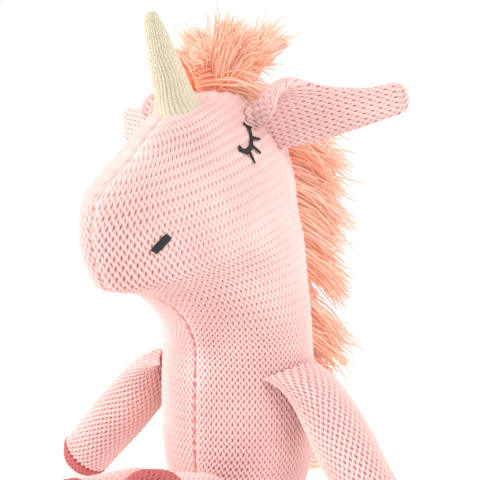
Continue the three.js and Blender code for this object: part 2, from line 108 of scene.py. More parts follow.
# Fraction of the length, width below and above the axis, fold radius, fold angle, flap length, thickness.
EAR_SECTIONS = np.array([
    [0.00, 15, 14, 3.2, 160, 6, 4.5],
    [0.08, 13, 18.5, 4.6, 155, 7, 5.5],
    [0.16, 12.3, 21.3, 7, 140, 8, 6.2],
    [0.24, 12.3, 22.2, 9.5, 100, 5, 7],
    [0.32, 12.3, 21.8, 10, 55, 3, 7.5],
    [0.42, 11.8, 20.2, 8, 28, 1, 8],
    [0.53, 10.8, 18, 7, 15, 0.5, 8.4],
    [0.78, 8.6, 13, 5, 8, 0.3, 8.8],
    [0.92, 7.6, 11.4, 3, 4, 0.2, 8.8],
    [0.975, 6, 9, 2, 3, 0.2, 7.2],
    [1.00, 3.2, 5, 1, 2, 0.1, 4.5],
])

SHOULDER = {"x": 45.5, "y": 0, "z": 80.5, "splay": 40, "forward": 12.6}
ARM_SEAM = {"highest": 10, "lift": 3.1, "fall": 0.0095}
ARM_SECTIONS = np.array([
    [0, 25, 1.4], [8, 23, 7], [20, 19.5, 12], [36, 17, 14.5], [54, 16, 15.5], [72, 15, 15],
    [86, 14.8, 14.8], [93, 12.3, 12.3], [97.5, 8, 8], [99.5, 1.5, 1.5],
])
ARM_HOOF = 87
# How far along a limb its wrapped end takes to ease out, and the knit of the limbs.
EASE_LENGTH = 36
LIMB_RADIUS = 15.5
LIMB_RIDGE = 4.6
LIMB_STITCH = 3.2
SAMPLES_PER_STITCH = 8
HIP = {"x": 21, "y": -36.5, "z": 15.5, "splay": 6, "lift": 12}
LEG_SECTIONS = np.array([
    [0, 17, 1.4], [10, 15.5, 8], [22, 13.5, 12], [40, 12.8, 12.8], [58, 13.6, 13.6],
    [66, 15, 15], [75, 15.2, 15.2], [83, 12, 12], [87, 7.5, 7.5], [89, 1.5, 1.5],
])
LEG_HOOF = 60

MANE = [
    (227.5, 40, -8), (211, 46, 8), (194.5, 48, 12), (177.5, 48, 14), (160, 48, 16), (141.5, 48, 18),
    (114, 46, 26), (96, 46, 29), (78.5, 44, 33),
]
EYE_LID = [(38.5, 197.3), (33.9, 196.2), (29.3, 198.6), (26.7, 202.6), (24.8, 207.5), (27.6, 211)]
EYE_LASHES = [
    ((32, 197), (30.8, 190.6)), ((28.4, 199.6), (23.7, 195.6)), ((26.4, 203.6), (19.7, 202.6)),
    ((25.6, 209), (23, 208.6)), ((36.5, 196.4), (37.8, 199.6)),
]
NOSTRIL = ((97.2, 149.3), (90.9, 156.5))

CAMERA = {"azimuth": 37, "elevation": 5, "distance": 700, "aim_z": 147, "aim_side": 1.65, "focal_px": 1273}


# ---------- small tools ----------
def smooth_columns(table, at):
    """Values between a table's rows by a cubic that never overshoots. at is in rows."""
    at = np.clip(np.asarray(at, float), 0, len(table) - 1)
    step = np.diff(table, axis=0)
    slope = np.empty_like(table)
    slope[0], slope[-1] = step[0], step[-1]
    before, after = step[:-1], step[1:]
    same = before * after > 0
    slope[1:-1] = np.where(same, 2 * before * after / np.where(same, before + after, 1), 0)
    i = np.minimum(at.astype(int), len(table) - 2)
    s = (at - i)[:, None]
    a, b, ma, mb = table[i], table[i + 1], slope[i], slope[i + 1]
    return a + s * (ma + s * (3 * (b - a) - 2 * ma - mb + s * (2 * (a - b) + ma + mb)))


def along_table(table, position):
    """Rows of a table whose first column is the position, smoothly read at the given positions."""
    index = np.interp(position, table[:, 0], np.arange(len(table)))
    return smooth_columns(table, index)


def grid_normals(points, closed):
    """Unit normals of a grid of points; closed wraps the columns."""
    if closed:
        across = np.roll(points, -1, axis=1) - np.roll(points, 1, axis=1)
    else:
        across = np.gradient(points, axis=1)
    up = np.gradient(points, axis=0)
    normal = np.cross(across, up)
    return normal / np.maximum(np.linalg.norm(normal, axis=2, keepdims=True), 1e-9)


def grid_object(name, points, closed=False, values=None, cap=False):
    """Mesh from a grid of points in millimetres. values is {attribute name: grid of numbers}."""
    rows, columns = points.shape[:2]
    index = np.arange(rows * columns).reshape(rows, columns)
    if closed:
        index = np.hstack([index, index[:, :1]])
    a, b = index[:-1, :-1].ravel(), index[:-1, 1:].ravel()
    c, d = index[1:, 1:].ravel(), index[1:, :-1].ravel()
    quads = np.stack([a, b, c, d], axis=1)
    mesh = bpy.data.meshes.new(name)
    co = points.reshape(-1, 3) * MM
    faces = quads.tolist()
    if cap:
        faces += [index[0, :-1][::-1].tolist(), index[-1, :-1].tolist()]
    mesh.from_pydata(co.tolist(), [], faces)
    for key, grid in (values or {}).items():
        flat = grid.ravel().astype(np.float32)
        mesh.attributes.new(key, "FLOAT", "POINT").data.foreach_set("value", flat)
    mesh.shade_smooth()
    ob = bpy.data.objects.new(name, mesh)
    bpy.context.scene.collection.objects.link(ob)
    return ob


def mirrored(points):
    """The same grid on the toy's other side, with its columns reversed so that it faces the same way."""
    flipped = points[:, ::-1].copy()
    flipped[..., 0] *= -1
    return flipped


def knit_relief(u, v, second):
    """Garter stitch: brick-laid loops with slanting slits between them, which lean the other way in
    every second row. u counts stitches, v ridges, and second is the strength of every second row.
    Returns the height and the slit depth from 0 to 1."""
    tu, tv = 2 * np.pi * u, 2 * np.pi * v
    height = -0.38 * np.cos(tu) * np.cos(tv) - 0.42 * (1.05 - second) * np.cos(tv)
    slit = np.zeros_like(height)
    for du, dv, slant, strength in ((0, 0, 0.42, 1), (0.5, 0.5, -0.42, second)):
        y = (v - dv + 0.5) % 1 - 0.5
        x = (u - du + slant * y + 0.5) % 1 - 0.5
        slit += strength * np.exp(-((x / 0.13) ** 2) - (y / 0.3) ** 2)
    return height - 1.0 * slit, slit


def wobble(u, v, seed):
    """Slow, repeatable unevenness of hand-fed knitting, about -1 to 1."""
    rng = np.random.default_rng(seed)
    total = np.zeros(np.broadcast(u, v).shape)
    for _ in range(6):
        fu, fv = rng.uniform(0.05, 0.42, 2)
        total += np.sin(fu * u * 2.1 + rng.uniform(0, 6.28)) * np.sin(fv * v * 2.1 + rng.uniform(0, 6.28))
    return total / 3


def knit_object(name, base, u, v, relief, second, closed=False, seed=1, cap=False, facing=1, crease_shade=0.0):
    """Displaces a smooth grid with knit relief and keeps, for the material, the painted shade of its slits
    and creases and its unevenness.
    facing is 1 where the grid's own normals point out of the toy, -1 where they point in."""
    uneven = wobble(u, v, seed)
    height, slit = knit_relief(u + 0.10 * uneven, v + 0.07 * wobble(v, u, seed + 5), second)
    normal = grid_normals(base, closed) * facing
    points = base + normal * (relief * height * (1 + 0.15 * uneven) + PROUD)[..., None]
    # Painted shade down in the slits, stronger where every second row is strong; seam creases add painted
    # shade of their own.
    slit_shade = slit * (0.55 + 0.75 * second)
    return grid_object(name, points, closed, {"slit": np.maximum(slit_shade, crease_shade), "uneven": uneven}, cap)


# ---------- materials ----------
def linear(r, g, b):
    """sRGB bytes to the linear colour that Blender uses."""
    channel = [c / 255 for c in (r, g, b)]
    return tuple(c / 12.92 if c <= 0.04045 else ((c + 0.055) / 1.055) ** 2.4 for c in channel) + (1,)


def new_material(name):
    material = bpy.data.materials.new(name)
    material.use_nodes = True
    return material, material.node_tree.nodes, material.node_tree.links


def mix_colour(nodes, links, factor, a, b, blend="MIX"):
    mix = nodes.new("ShaderNodeMix")
    mix.data_type = "RGBA"
    mix.blend_type = blend
    for socket, value in ((mix.inputs[0], factor), (mix.inputs[6], a), (mix.inputs[7], b)):
        if isinstance(value, (int, float, tuple)):
            socket.default_value = value
        else:
            links.new(value, socket)
    return mix.outputs[2]


def attribute(nodes, name):
    node = nodes.new("ShaderNodeAttribute")
    node.attribute_name = name
    return node.outputs["Fac"]


def noise(nodes, scale, detail=2):
    node = nodes.new("ShaderNodeTexNoise")
    node.inputs["Scale"].default_value = scale
    node.inputs["Detail"].default_value = detail
    return node.outputs["Fac"]


def remap(nodes, links, value, low, high, to_low=0.0, to_high=1.0):
    node = nodes.new("ShaderNodeMapRange")
    node.inputs["From Min"].default_value = low
    node.inputs["From Max"].default_value = high
    node.inputs["To Min"].default_value = to_low
    node.inputs["To Max"].default_value = to_high
    links.new(value, node.inputs["Value"])
    return node.outputs["Result"]


def fine_bump(nodes, links, height, strength, distance):
    bump = nodes.new("ShaderNodeBump")
    bump.inputs["Strength"].default_value = strength
    bump.inputs["Distance"].default_value = distance * MM
    links.new(height, bump.inputs["Height"])
    return bump.outputs["Normal"]


def knit_material(name, light, deep, sheen_tint):
    """Matte cotton yarn: painted shade down in the slits and seam creases, slow tone changes, fine fibre
    bump.
    """
    material, nodes, links = new_material(name)
    shader = nodes["Principled BSDF"]
    tone = remap(nodes, links, attribute(nodes, "uneven"), -1, 1, 0.0, 1.0)
    darker = tuple(c * 0.9 for c in light[:3]) + (1,)
    yarn = mix_colour(nodes, links, tone, light, darker)
    fibre = noise(nodes, 1400, 3)
    fleck = remap(nodes, links, fibre, 0.35, 0.75, 0.0, 0.16)
    yarn = mix_colour(nodes, links, fleck, yarn, deep)
    # Painted shade: the slit attribute turns the yarn towards the deep colour down in the slits and along
    # the seam creases.
    depth = remap(nodes, links, attribute(nodes, "slit"), 0.15, 0.75, 0.0, 0.95)
    links.new(mix_colour(nodes, links, depth, yarn, deep), shader.inputs["Base Color"])
    links.new(fine_bump(nodes, links, fibre, 0.35, 0.25), shader.inputs["Normal"])
    shader.inputs["Roughness"].default_value = 0.92
    shader.inputs["Specular IOR Level"].default_value = 0.15
    shader.inputs["Sheen Weight"].default_value = 0.25
    shader.inputs["Sheen Roughness"].default_value = 0.6
    shader.inputs["Sheen Tint"].default_value = sheen_tint
    return material


def yarn_material(name, light, mid, deep):
    """Loose yarn: each strand has its own tone, with painted shade towards its root and a faint painted
    glow.
    """
    material, nodes, links = new_material(name)
    shader = nodes["Principled BSDF"]
    strand = mix_colour(nodes, links, attribute(nodes, "tone"), mid, light)
    # Painted shade: each strand darkens towards its root, where the hair shades itself.
    root = remap(nodes, links, attribute(nodes, "along"), 0.0, 0.5, 0.75, 0.0)
    colour = mix_colour(nodes, links, root, strand, deep)
    links.new(colour, shader.inputs["Base Color"])
    # Painted glow: the yarn emits faintly in its own colour, standing in for light scattered through the
    # strands.
    links.new(colour, shader.inputs["Emission Color"])
    shader.inputs["Emission Strength"].default_value = 0.1
    links.new(fine_bump(nodes, links, noise(nodes, 2500, 2), 0.3, 0.15), shader.inputs["Normal"])
    shader.inputs["Roughness"].default_value = 0.75
    shader.inputs["Specular IOR Level"].default_value = 0.25
    shader.inputs["Sheen Weight"].default_value = 0.2
    shader.inputs["Sheen Roughness"].default_value = 0.5
    return material


def gold_material(name):
    """Cream rib knit with a gold metallic thread: small gold specks scattered over cream yarn, some painted
    near white as glints, with painted shade in the rib grooves.
    """
    material, nodes, links = new_material(name)
    shader = nodes["Principled BSDF"]
    cells = nodes.new("ShaderNodeTexVoronoi")
    cells.inputs["Scale"].default_value = 950
    split = nodes.new("ShaderNodeSeparateColor")
    links.new(cells.outputs["Color"], split.inputs["Color"])
    glint = remap(nodes, links, split.outputs["Red"], 0.48, 0.52)
    # Painted glints: each gold speck gets a random colour from dark gold to near white.
    painted_glint = remap(nodes, links, split.outputs["Green"], 0.1, 0.7)
    gold = mix_colour(nodes, links, painted_glint, linear(176, 142, 76), linear(255, 250, 212))
    # Painted shade: the cream darkens in the grooves between the ribs.
    cream = mix_colour(nodes, links, attribute(nodes, "slit"), linear(255, 250, 242), linear(232, 208, 176))
    links.new(mix_colour(nodes, links, glint, cream, gold), shader.inputs["Base Color"])
    links.new(remap(nodes, links, glint, 0, 1, 0.0, 0.5), shader.inputs["Metallic"])
    links.new(remap(nodes, links, glint, 0, 1, 0.8, 0.4), shader.inputs["Roughness"])
    links.new(fine_bump(nodes, links, split.outputs["Blue"], 0.6, 0.35), shader.inputs["Normal"])
    return material


def thread_material(name):
    material, nodes, links = new_material(name)
    shader = nodes["Principled BSDF"]
    shade = mix_colour(nodes, links, noise(nodes, 900, 2), linear(14, 14, 18), linear(38, 38, 44))
    links.new(shade, shader.inputs["Base Color"])
    links.new(fine_bump(nodes, links, noise(nodes, 1800, 2), 0.4, 0.2), shader.inputs["Normal"])
    shader.inputs["Roughness"].default_value = 0.5
    return material


def plain_fabric(name, colour):
    material, nodes, links = new_material(name)
    shader = nodes["Principled BSDF"]
    darker = tuple(c * 0.85 for c in colour[:3]) + (1,)
    cloudy = mix_colour(nodes, links, noise(nodes, 300, 4), colour, darker)
    links.new(cloudy, shader.inputs["Base Color"])
    links.new(fine_bump(nodes, links, noise(nodes, 700, 3), 0.5, 0.6), shader.inputs["Normal"])
    shader.inputs["Roughness"].default_value = 0.95
    return material


# The second colour of each knit is painted shade, laid down in its slits and seam creases; the last colour
# of the coral yarn is painted shade towards the strands' roots.
PINK = knit_material("pink_knit", linear(250, 213, 208), linear(196, 98, 92), (1, 0.86, 0.84, 1))
ROSE = knit_material("rose_knit", linear(202, 104, 106), linear(150, 50, 56), (1, 0.7, 0.7, 1))
CORAL = yarn_material("coral_yarn", linear(255, 222, 204), linear(255, 190, 160), linear(252, 152, 112))
GOLD = gold_material("gold_rib")
THREAD = thread_material("black_thread")
FIBRE = plain_fabric("white_fibre", linear(245, 242, 238))
SEAT_CLOTH = plain_fabric("seat_cloth", linear(244, 200, 193))


def finish_piece(ob, material, body=None, stands_for=()):
    ob.data.materials.append(material)
    if body:
        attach(ob, body)
    if stands_for:
        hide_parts(*stands_for)
    return ob


# ---------- body, neck and head: two knitted side panels ----------
def row_points(stations, samples):
    """Half rows of the left side, from the back seam to the front seam, evenly spaced in stitches.
    Returns the grid, the stitch count at each point and the distance from the nearer seam."""
    rows = smooth_columns(STATIONS, stations)
    stitches = smooth_columns(STITCHES, stations)
    angle = np.linspace(0, np.pi, 241)
    u = np.cos(angle)
    points = np.empty((len(stations), samples, 3))
    counts = np.empty((len(stations), samples))
    from_seam = np.empty((len(stations), samples))
    for i, (front, front_z, back, back_z, width, squareness, taper) in enumerate(rows):
        bulge = np.maximum(1 - np.abs(u) ** squareness, 0) ** (1 / squareness)
        x = width * bulge * (1 + taper * u)
        y = (back - front) / 2 + (back + front) / 2 * u
        z = (back_z + front_z) / 2 + (back_z - front_z) / 2 * u
        path = np.stack([x, y, z], axis=1)
        run = np.concatenate([[0], np.cumsum(np.linalg.norm(np.diff(path, axis=0), axis=1))])
        part = run / run[-1]
        width_here = stitches[i, 0] + (stitches[i, 1] - stitches[i, 0]) * part * part
        count = np.concatenate([[0], np.cumsum(np.diff(run) / (width_here[1:] + width_here[:-1]) * 2)])
        counts[i] = np.linspace(0, count[-1], samples)
        even = np.interp(counts[i], count, run)
        points[i] = np.stack([np.interp(even, run, path[:, k]) for k in range(3)], axis=1)
        counts[i] -= np.interp(run[-1] / 2, run, count)
        from_seam[i] = np.minimum(even, run[-1] - even)
    return points, counts, from_seam


def body_panel(name, side):
    ridge_at = np.concatenate([[0], np.cumsum(RIDGES)])
    ridge = np.arange(0, ridge_at[-1] - 1.0, 1 / SAMPLES_PER_RIDGE)
    stations = np.interp(ridge, ridge_at, np.arange(len(ridge_at)))
    base, u, from_seam = row_points(stations, BODY_COLUMNS)
    v = np.repeat(ridge[:, None], BODY_COLUMNS, axis=1)
    tuck = np.exp(-((from_seam / 1.7) ** 2))
    calm = np.exp(-((from_seam / 5) ** 2))
    # Painted shade along the seam crease, easing to half strength from the neck up.
    crease_shade = np.exp(-((from_seam / 1.1) ** 2)) * (0.7 + 0.25 * np.sin(1.3 * np.pi * v))
    crease_shade *= np.interp(stations, [6, 9], [1, 0.5])[:, None]
    ends = smooth_columns(SECOND_ROWS, stations)
    second = ends[:, :1] + (ends[:, 1:] - ends[:, :1]) * np.linspace(0, 1, BODY_COLUMNS)[None, :] ** 1.5
    normal = grid_normals(base, False)
    base = base + normal * (SEAM_TUCK * tuck)[..., None]
    under = base[:1].repeat(3, axis=0).copy()
    shrink = np.array([0.8, 0.9, 0.97])[:, None]
    under[..., 0] *= shrink
    under[..., 1] *= shrink
    base[..., 2] = np.maximum(base[..., 2], 1.4)
    under[..., 2] = 1.2
    base = np.concatenate([under, base])
    u, v, calm, crease_shade, second = [
        np.concatenate([g[:1].repeat(3, axis=0), g]) for g in (u, v, calm, crease_shade, second)
    ]
    base[..., 0] = np.maximum(base[..., 0], 0)
    relief = RELIEF * (1 - 0.8 * calm)
    if side < 0:
        base = mirrored(base)
        u, v, relief, crease_shade, second = [g[:, ::-1] for g in (u, v, relief, crease_shade, second)]
    return knit_object(name, base, u, v, relief, second, seed=3, facing=-1, crease_shade=crease_shade)


def side_surface(reach, height):
    """Point on the left side of the head at a reach forward and a height."""
    low, high = 0.0, float(len(STATIONS) - 1)
    for _ in range(40):
        station = (low + high) / 2
        front, front_z, back, back_z = smooth_columns(STATIONS, [station])[0][:4]
        line = front_z + (back_z - front_z) * (front - reach) / (front + back)
        if line < height:
            low = station
        else:
            high = station
    front, _, back, _, width, squareness, taper = smooth_columns(STATIONS, [low])[0]
    u = ((front - reach) / (front + back)) * 2 - 1
    x = width * (1 - abs(u) ** squareness) ** (1 / squareness) * (1 + taper * u)
    return np.array([x, -reach, height])


for side, sign in (("left", 1), ("right", -1)):
    panel = body_panel(f"knit_panel_{side}", sign)
    finish_piece(panel, PINK, stands_for=(f"torso_cover_{side}", f"head_cover_{side}"))
    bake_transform(panel)


FILLING_DEPTH = 4.5


def body_filling():
    """Stuffing of the body and head in one piece inside the knit, so that it bends with the panels."""
    base, _, _ = row_points(np.linspace(0.5, 15.4, 96), 48)
    base = base + grid_normals(base, False) * FILLING_DEPTH
    base[..., 0] = np.maximum(base[..., 0], 0)
    base[..., 2] = np.maximum(base[..., 2], 3)
    ring = np.concatenate([base, mirrored(base)[:, 1:-1]], axis=1)
    return grid_object("body_filling", ring, True, None, cap=True)


filling = finish_piece(body_filling(), FIBRE, stands_for=("torso_filling", "head_filling"))
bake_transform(filling)

# ---------- limbs ----------
def limb_base(sections, stations, columns):
    """Tube along -Z, flattened at its sewn end; depth along Y, thickness along X."""
    rows = along_table(sections, stations)
    angle = np.linspace(0, 2 * np.pi, columns, endpoint=False)[None, :]
    depth, thickness = rows[:, 1:2], rows[:, 2:3]
    x = thickness * np.sin(angle)
    y = depth * np.cos(angle)
    z = -rows[:, 0:1] * np.ones_like(x)
    return np.stack([x, y, z], axis=2)


def wrap_sewn_end(points, body_half, body_depth, inward, upward, lift):
    """Wraps the flat end around the rounded body, easing out further along the limb.
    inward and upward are the body's own directions as the limb sees them."""
    y, z = points[..., 1], points[..., 2]
    ease = np.maximum(0, 1 + z / EASE_LENGTH) ** 2
    drop = body_half * (1 - np.sqrt(np.maximum(1 - (y / body_depth) ** 2, 0.1)))
    return points + (lift(y) * ease)[..., None] * upward + (drop * ease)[..., None] * inward


def place(points, matrix):
    m = np.array(matrix)
    return points @ m[:3, :3].T + m[:3, 3]


def limb_objects(label, sections, hoof, wrap, matrix, body, mirror, seed):
    """Knitted tube and hoof of one limb. The hoof starts with a small rolled join."""
    length = sections[-1, 0]
    for piece, first, last, material, slot in (
        ("cover", 0, hoof + 0.6, PINK, "pink_knit"), ("hoof", hoof, length, ROSE, "rose_knit"),
    ):
        count = int((last - first) / LIMB_RIDGE * SAMPLES_PER_RIDGE)
        stations = np.linspace(first, last, count)
        stitches = round(2 * math.pi * LIMB_RADIUS / LIMB_STITCH)
        columns = stitches * SAMPLES_PER_STITCH
        base = limb_base(sections, stations, columns)
        if piece == "hoof":
            swell = 0.5 * np.exp(-(((stations - hoof - 1.5) / 1.6) ** 2))
            base[..., :2] *= (1 + swell[:, None, None] / 15)
        base = place(wrap(base), matrix)
        u = np.repeat(np.linspace(0, stitches, columns, endpoint=False)[None, :], count, axis=0)
        v = np.repeat((stations / LIMB_RIDGE)[:, None], columns, axis=1)
        relief = np.full(u.shape, 1.05 if piece == "cover" else 0.55)
        relief *= np.clip((stations[:, None] - first) / 3, 0.35, 1) if piece == "cover" else 1
        if mirror:
            base, u, v = mirrored(base), u[:, ::-1], v[:, ::-1]
        ob = knit_object(
            f"{label}_{piece}_knit", base, u, v, relief, 0.8, closed=True, seed=seed, cap=True)
        finish_piece(ob, material, body, (f"{label}_{piece}",))


arm_turn = (Matrix.Rotation(-math.radians(SHOULDER["forward"]), 4, "X")
            @ Matrix.Rotation(-math.radians(SHOULDER["splay"]), 4, "Y"))
arm_matrix = Matrix.Translation((SHOULDER["x"], SHOULDER["y"], SHOULDER["z"])) @ arm_turn
arm_unturn = np.array(arm_turn.inverted())[:3, :3]


def arm_wrap(points):
    def lift(y):
        return ARM_SEAM["lift"] - ARM_SEAM["fall"] * (y - ARM_SEAM["highest"]) ** 2

    return wrap_sewn_end(
        points, STATIONS[4][4], STATIONS[4][2], arm_unturn @ (-1, 0, 0), arm_unturn @ (0, 0, 1), lift)


def leg_wrap(points):
    return wrap_sewn_end(points, 34, 40, np.array([-1, 0, 0]), np.array([0, 0, 1]), np.zeros_like)


def leg_matrix(sign, lift):
    turn = Matrix(((0, 1, 0, 0), (-1, 0, 0, 0), (0, 0, 1, 0), (0, 0, 0, 1)))
    forward = Matrix.Rotation(-math.pi / 2, 4, "X")
    return (Matrix.Translation((sign * HIP["x"], HIP["y"], HIP["z"]))
            @ Matrix.Rotation(-math.radians(lift), 4, "X")
            @ Matrix.Rotation(sign * math.radians(HIP["splay"]), 4, "Z")
            @ forward @ turn)


for side, mirror in (("left", False), ("right", True)):
    limb_objects(f"arm_{side}", ARM_SECTIONS, ARM_HOOF, arm_wrap, arm_matrix, f"arm_{side}", mirror, 11)
for side, sign, lift in (("left", 1, HIP["lift"]), ("right", -1, 0)):
    matrix = leg_matrix(sign, lift)
    limb_objects(f"leg_{side}", LEG_SECTIONS, LEG_HOOF, leg_wrap, matrix, f"leg_{side}", False, 17)


# ---------- ears ----------
def ear_outline(below, above, radius, turn, flap, thickness, samples):
    """Section of the padded ear: straight blade, fold, flap. Returns across, forward and run, all round."""
    straight = below + above - radius
    bend = math.radians(turn)
    total = straight + radius * bend + flap
    run = total * (1 - np.cos(np.linspace(0, np.pi, samples))) / 2
    angle = np.clip((run - straight) / radius, 0, bend)
    past = np.maximum(run - straight - radius * bend, 0)
    across = np.minimum(run, straight) - below + radius * np.sin(angle) + past * math.cos(bend)
    forward = radius * (1 - np.cos(angle)) + past * math.sin(bend)
    forward -= 1.6 * np.sin(np.pi * np.clip(run / straight, 0, 1))
    half = thickness / 2 * np.sqrt(np.maximum(1 - np.abs(2 * run / total - 1) ** 4, 0))
    front = (across - half * np.sin(angle), forward + half * np.cos(angle))
    back = (across + half * np.sin(angle), forward - half * np.cos(angle))
    return [np.concatenate([f, b[::-1][1:-1]]) for f, b in zip(front, back)] + [
        np.concatenate([run, (2 * total - run)[::-1][1:-1]])]


def ear_base(tip, sag, spread, rows, samples):
    base = (EAR_SEAM_TOP + EAR_SEAM_BOTTOM) / 2
    axis = tip - base
    length = np.linalg.norm(axis)
    axis = axis / length
    seam = EAR_SEAM_TOP - EAR_SEAM_BOTTOM
    seam = seam / np.linalg.norm(seam)
    fractions = np.linspace(-0.05, 1, rows)
    table = along_table(EAR_SECTIONS, np.maximum(fractions, 0))
    table[:, 1:3] *= 1 + spread * np.maximum(fractions, 0)[:, None] ** 2
    points, across_run = [], []
    for fraction, (_, below, above, radius, turn, flap, thickness) in zip(fractions, table):
        upright = seam + (np.array([0, 0, 1]) - seam) * min(1, max(fraction, 0) * 2.2)
        upright = upright - axis * upright.dot(axis)
        upright = upright / np.linalg.norm(upright)
        forward = np.cross(upright, axis)
        if forward[1] > 0:
            forward = -forward
        across, ahead, run = ear_outline(below, above, radius, turn, flap, thickness, samples)
        across_run.append(run)
        droop = sag * math.sin(math.pi * min(max(fraction, 0) / 0.7, 1))
        centre = base + axis * (fraction * length) - np.array([0, 0, droop])
        points.append(centre + across[:, None] * upright + ahead[:, None] * forward)
    run = fractions[:, None] * length * np.ones((1, 2 * samples - 2))
    return np.array(points), np.array(across_run), run


for side, mirror in (("left", False), ("right", True)):
    base, u, v = ear_base(EARS[side]["tip"], EARS[side]["sag"], EARS[side]["spread"], 170, 120)
    u, v = u / EAR_STITCH, v / EAR_RIDGE
    if mirror:
        base, u, v = mirrored(base), u[:, ::-1], v[:, ::-1]
    ear = knit_object(
        f"ear_{side}_knit", base, u, v, np.full(u.shape, 0.6), 0.6,
        closed=True, seed=23, cap=True, facing=-1)
    finish_piece(ear, PINK, f"ear_{side}", (f"ear_{side}",))


# ---------- horn ----------
def horn_object():
    up = np.concatenate([np.linspace(-6, 48, 150), np.linspace(48.3, HORN["tip"], 14)])
    radius = along_table(HORN_PROFILE, np.minimum(up, 50))[:, 1]
    close = np.clip((HORN["tip"] - up) / (HORN["tip"] - HORN_CAP["from"]), 0, 1)
    radius = np.where(up > HORN_CAP["from"], HORN_CAP["radius"] * np.sqrt(1 - (1 - close) ** 2), radius)
    columns = HORN["ribs"] * 9
    angle = np.linspace(0, 2 * np.pi, columns, endpoint=False)
    rib = angle[None, :] / (2 * np.pi) * HORN["ribs"] * np.ones((len(up), 1))
    twist = rib + 0.3 * np.sin(up / 4.1)[:, None]
    valley = np.abs(np.sin(np.pi * twist)) ** 0.7
    stitch = 0.5 + 0.5 * np.cos(2 * np.pi * (up[:, None] / 2.1 + 0.9 * np.abs((twist % 1) - 0.5)))
    height = (0.45 * valley + 0.22 * stitch * valley - 0.4) * np.clip(radius / 9, 0.25, 1)[:, None]
    reach = np.maximum(radius[:, None] + height, 0.05)
    x, y = reach * np.cos(angle), reach * np.sin(angle)
    points = np.stack([x, y, up[:, None] * np.ones_like(x)], axis=2)
    turn = Matrix.Rotation(math.radians(HORN["lean"]), 4, "X")
    lean = Matrix.Translation((0, HORN["y"], HORN["z"])) @ turn
    # The slit attribute is painted shade for the grooves between the ribs.
    return grid_object("horn_rib_knit", place(points, lean), True, {"slit": 1 - valley}, cap=True)


horn = finish_piece(horn_object(), GOLD, "head", ("horn_cover",))

# ---------- embroidery: satin stitches laid side by side ----------
def satin_run(path, widths, spacing, seed, slope=0.35):
    """Short thread lengths laid across a path on the head, as (start, end) pairs with their height."""
    rng = np.random.default_rng(seed)
    path = np.array(path, float)
    run = np.concatenate([[0], np.cumsum(np.linalg.norm(np.diff(path, axis=0), axis=1))])
    stitches = []
    for s in np.arange(0, run[-1], spacing):
        centre = np.array([np.interp(s, run, path[:, k]) for k in range(2)])
        ahead = np.array([np.interp(s + 0.5, run, path[:, k]) for k in range(2)])
        behind = np.array([np.interp(s - 0.5, run, path[:, k]) for k in range(2)])
        direction = (ahead - behind) / np.linalg.norm(ahead - behind)
        slant = np.array([-direction[1], direction[0]]) + slope * direction
        half = np.interp(s / run[-1], np.linspace(0, 1, len(widths)), widths) * rng.uniform(0.9, 1.1)
        stitches.append((centre - slant * half, centre + slant * half))
    return stitches


def thread_tube(points, radius, sides=6):
    """Rounded tube along points, as rings of vertices; tube_mesh makes its faces and closes its ends."""
    points = np.array(points)
    tangent = np.gradient(points, axis=0)
    tangent /= np.maximum(np.linalg.norm(tangent, axis=1, keepdims=True), 1e-9)
    guide = np.array([0.31, 0.52, 0.79])
    first = np.cross(tangent, guide)
    first /= np.maximum(np.linalg.norm(first, axis=1, keepdims=True), 1e-9)
    second = np.cross(tangent, first)
    angle = np.linspace(0, 2 * np.pi, sides, endpoint=False)
    ring = (np.cos(angle)[None, :, None] * first[:, None] + np.sin(angle)[None, :, None] * second[:, None])
    return points[:, None] + ring * np.asarray(radius).reshape(-1, 1, 1)


def tube_mesh(name, tubes, values=None):
    """One mesh from many tubes, each a grid of rings of the same number of sides."""
    verts, faces, start = [], [], 0
    for tube in tubes:
        rings, sides = tube.shape[:2]
        index = start + np.arange(rings * sides).reshape(rings, sides)
        wrap = np.hstack([index, index[:, :1]])
        quads = np.stack([wrap[:-1, :-1], wrap[:-1, 1:], wrap[1:, 1:], wrap[1:, :-1]], axis=2)
        faces += quads.reshape(-1, 4).tolist()
        faces += [index[0][::-1].tolist(), index[-1].tolist()]
        verts.append(tube.reshape(-1, 3))
        start += rings * sides
    mesh = bpy.data.meshes.new(name)
    mesh.from_pydata((np.concatenate(verts) * MM).tolist(), [], faces)
    for key, numbers in (values or {}).items():
        flat = np.concatenate(numbers).astype(np.float32)
        mesh.attributes.new(key, "FLOAT", "POINT").data.foreach_set("value", flat)
    mesh.shade_smooth()
    ob = bpy.data.objects.new(name, mesh)
    bpy.context.scene.collection.objects.link(ob)
    return ob


EMBROIDERY_LIFT = 1.05


def embroidery(name, stitches, lift, thread, mirror):
    tubes = []
    for a, b in stitches:
        part = np.linspace(0, 1, 7)
        flat = a + (b - a) * part[:, None]
        crown = lift * np.sin(np.pi * part) ** 0.5
        points = np.array([side_surface(*p) for p in flat])
        points[:, 0] += crown + EMBROIDERY_LIFT
        if mirror:
            points[:, 0] *= -1
        taper = thread * np.clip(np.sin(np.pi * np.linspace(0.12, 0.88, 7)) * 1.6, 0.3, 1)
        tubes.append(thread_tube(points, taper))
    return tube_mesh(name, tubes)


eye_stitches = satin_run(EYE_LID, [0.9, 1.3, 1.25, 1.05, 0.8, 0.7, 0.35], 0.42, 5)
for lash in EYE_LASHES:
    eye_stitches += satin_run(lash, [0.75, 0.65, 0.35], 0.4, 6)
nostril_stitches = satin_run(NOSTRIL, [1.6, 2.0, 1.95, 2.0, 1.6], 0.5, 7, 0.12)
for side, mirror in (("left", False), ("right", True)):
    eye = embroidery(f"eye_{side}_stitches", eye_stitches, 0.5, 0.36, mirror)
    finish_piece(eye, THREAD, "head", (f"eye_{side}",))
    nostril = embroidery(f"nostril_{side}_stitches", nostril_stitches, 0.8, 0.42, mirror)
    finish_piece(nostril, THREAD, "head", (f"nostril_{side}",))


# ---------- yarn hair ----------
STRAND_RINGS = 13
STRAND_SIDES = 4


